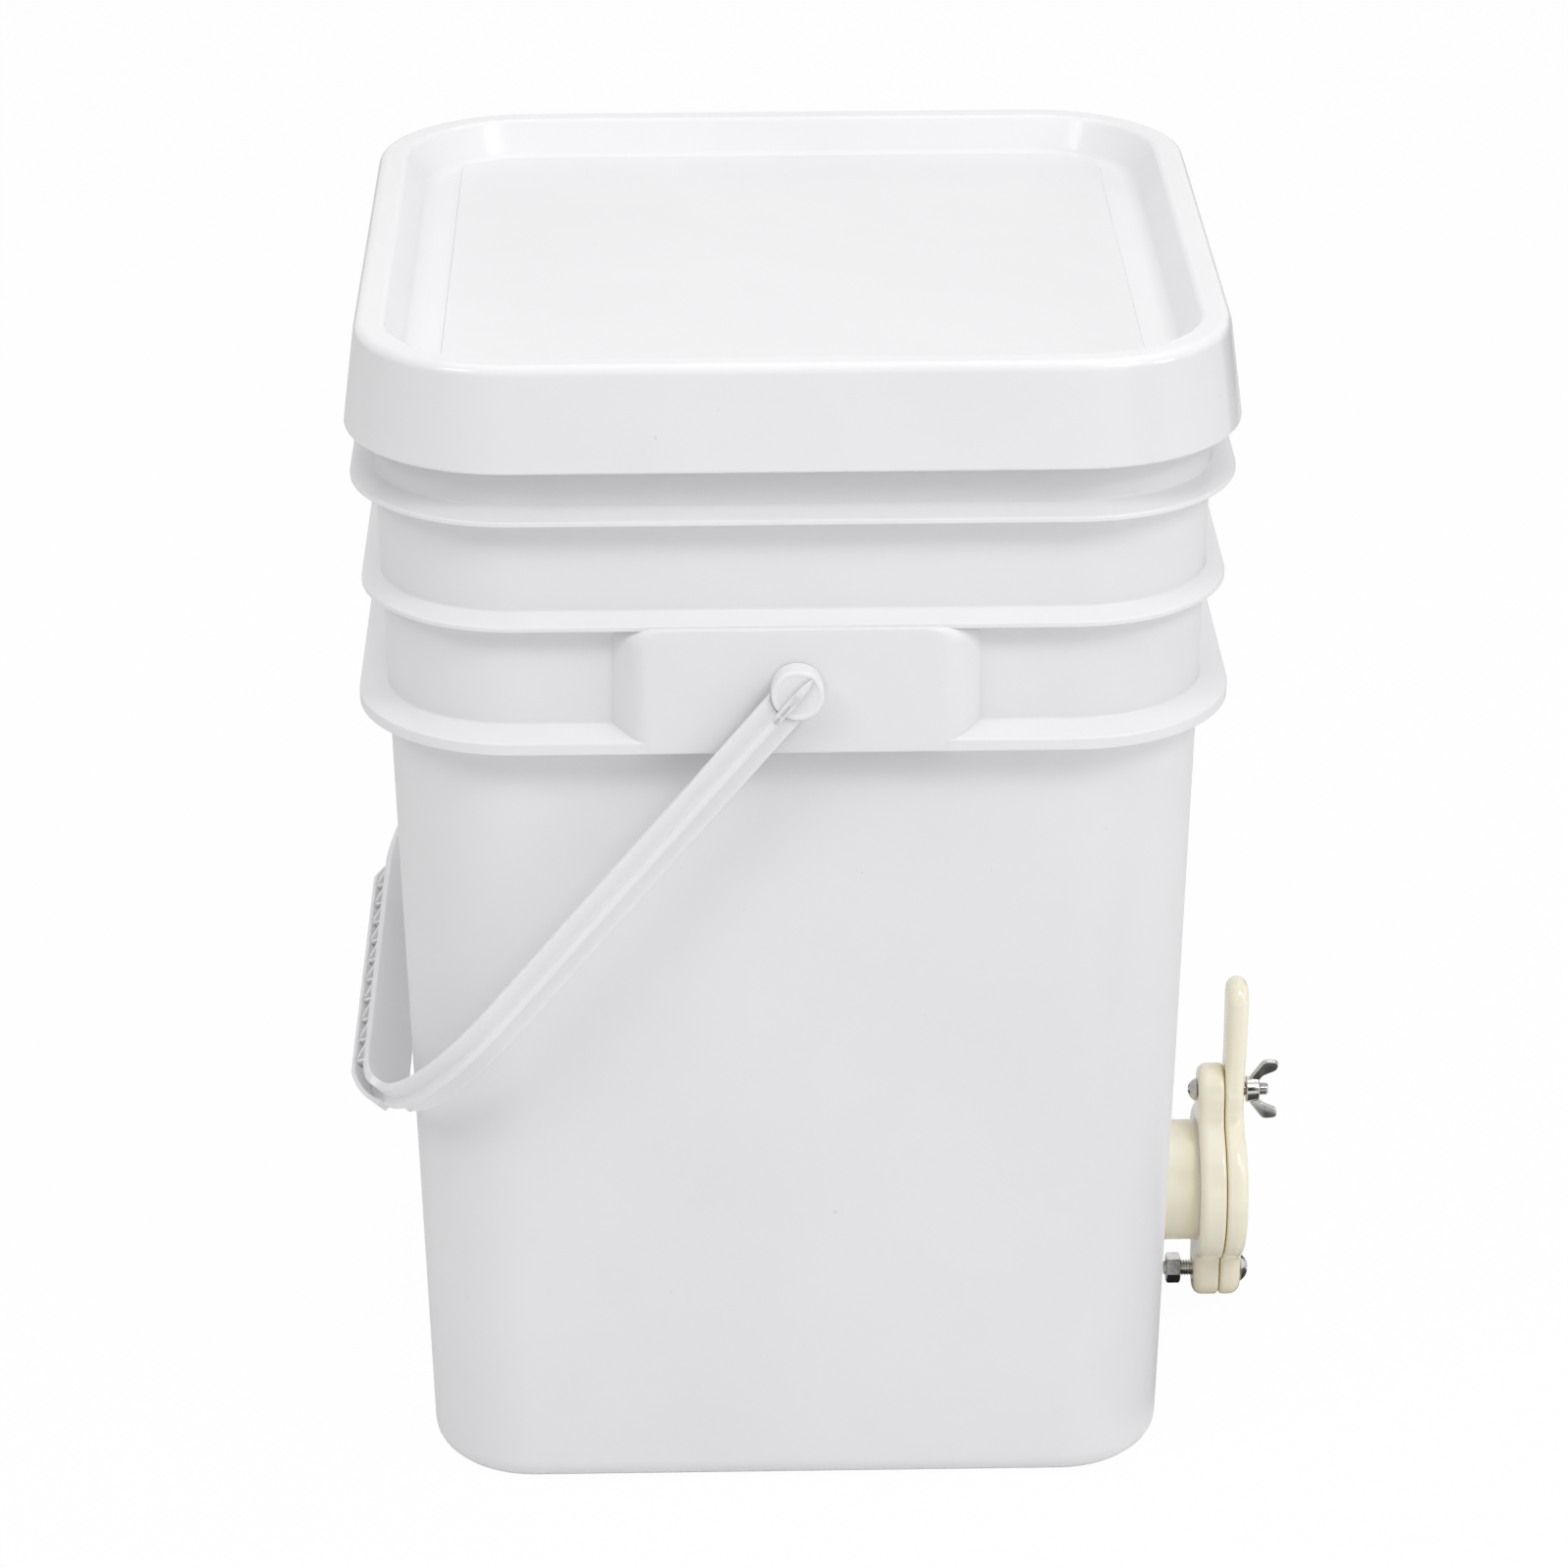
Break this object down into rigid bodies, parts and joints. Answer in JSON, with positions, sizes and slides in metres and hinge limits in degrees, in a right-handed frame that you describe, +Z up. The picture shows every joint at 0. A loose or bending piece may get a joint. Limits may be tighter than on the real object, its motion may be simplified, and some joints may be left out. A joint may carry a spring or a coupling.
{
  "type": "honey bucket with gate",
  "caption": "Square white plastic bucket with ribbed shoulders, a lift-off lid, a swinging bail and a cream outlet gate whose lever plate swings aside once its wing nut is loosened.",
  "frame": {"origin": "middle of the tub's flat base, on the surface it stands on", "axes": "+Z up; +X towards the outlet gate; the bail's ears are on the Y walls and the bail hangs on the -X side"},
  "size_m": [0.3403, 0.3166, 0.4254],
  "materials": {
    "white_plastic": "smooth moulded polypropylene, soft gloss",
    "cream_nylon": "cast cream nylon, slightly waxy gloss",
    "pale_seal": "pale soft sealing strip",
    "dark_seal": "matt black rubber",
    "steel": "polished stainless steel"
  },
  "bodies": {
    "tub": {"bucket_body": "white_plastic", "gate_body": "cream_nylon", "gate_gasket": "dark_seal", "gate_lock_nut": "cream_nylon", "clamp_screw": "steel", "pivot_screw": "steel", "pivot_nut": "steel"},
    "lid": {"lid": "white_plastic", "lid_gasket": "pale_seal"},
    "bail": {"bail_handle": "white_plastic"},
    "closing_plate": {"gate_plate": "cream_nylon"},
    "wing_nut": {"wing_nut": "steel"}
  },
  "joints": [
    {"name": "lid_lift", "type": "slide", "parent": "tub", "child": "lid", "axis": [0, 0, 1], "range_m": [0, 0.08]},
    {"name": "bail_swing", "type": "hinge", "parent": "tub", "child": "bail", "pos_m": [0, 0, 0.314], "axis": [0, 1, 0], "range_deg": [0, 270]},
    {"name": "gate_swing", "type": "hinge", "parent": "tub", "child": "closing_plate", "pos_m": [0.166, 0, 0.0134], "axis": [1, 0, 0], "range_deg": [0, 80]},
    {"name": "wing_nut_spin", "type": "hinge", "parent": "tub", "child": "wing_nut", "pos_m": [0.174, 0, 0.0886], "axis": [1, 0, 0], "range_deg": [0, 720]}
  ]
}
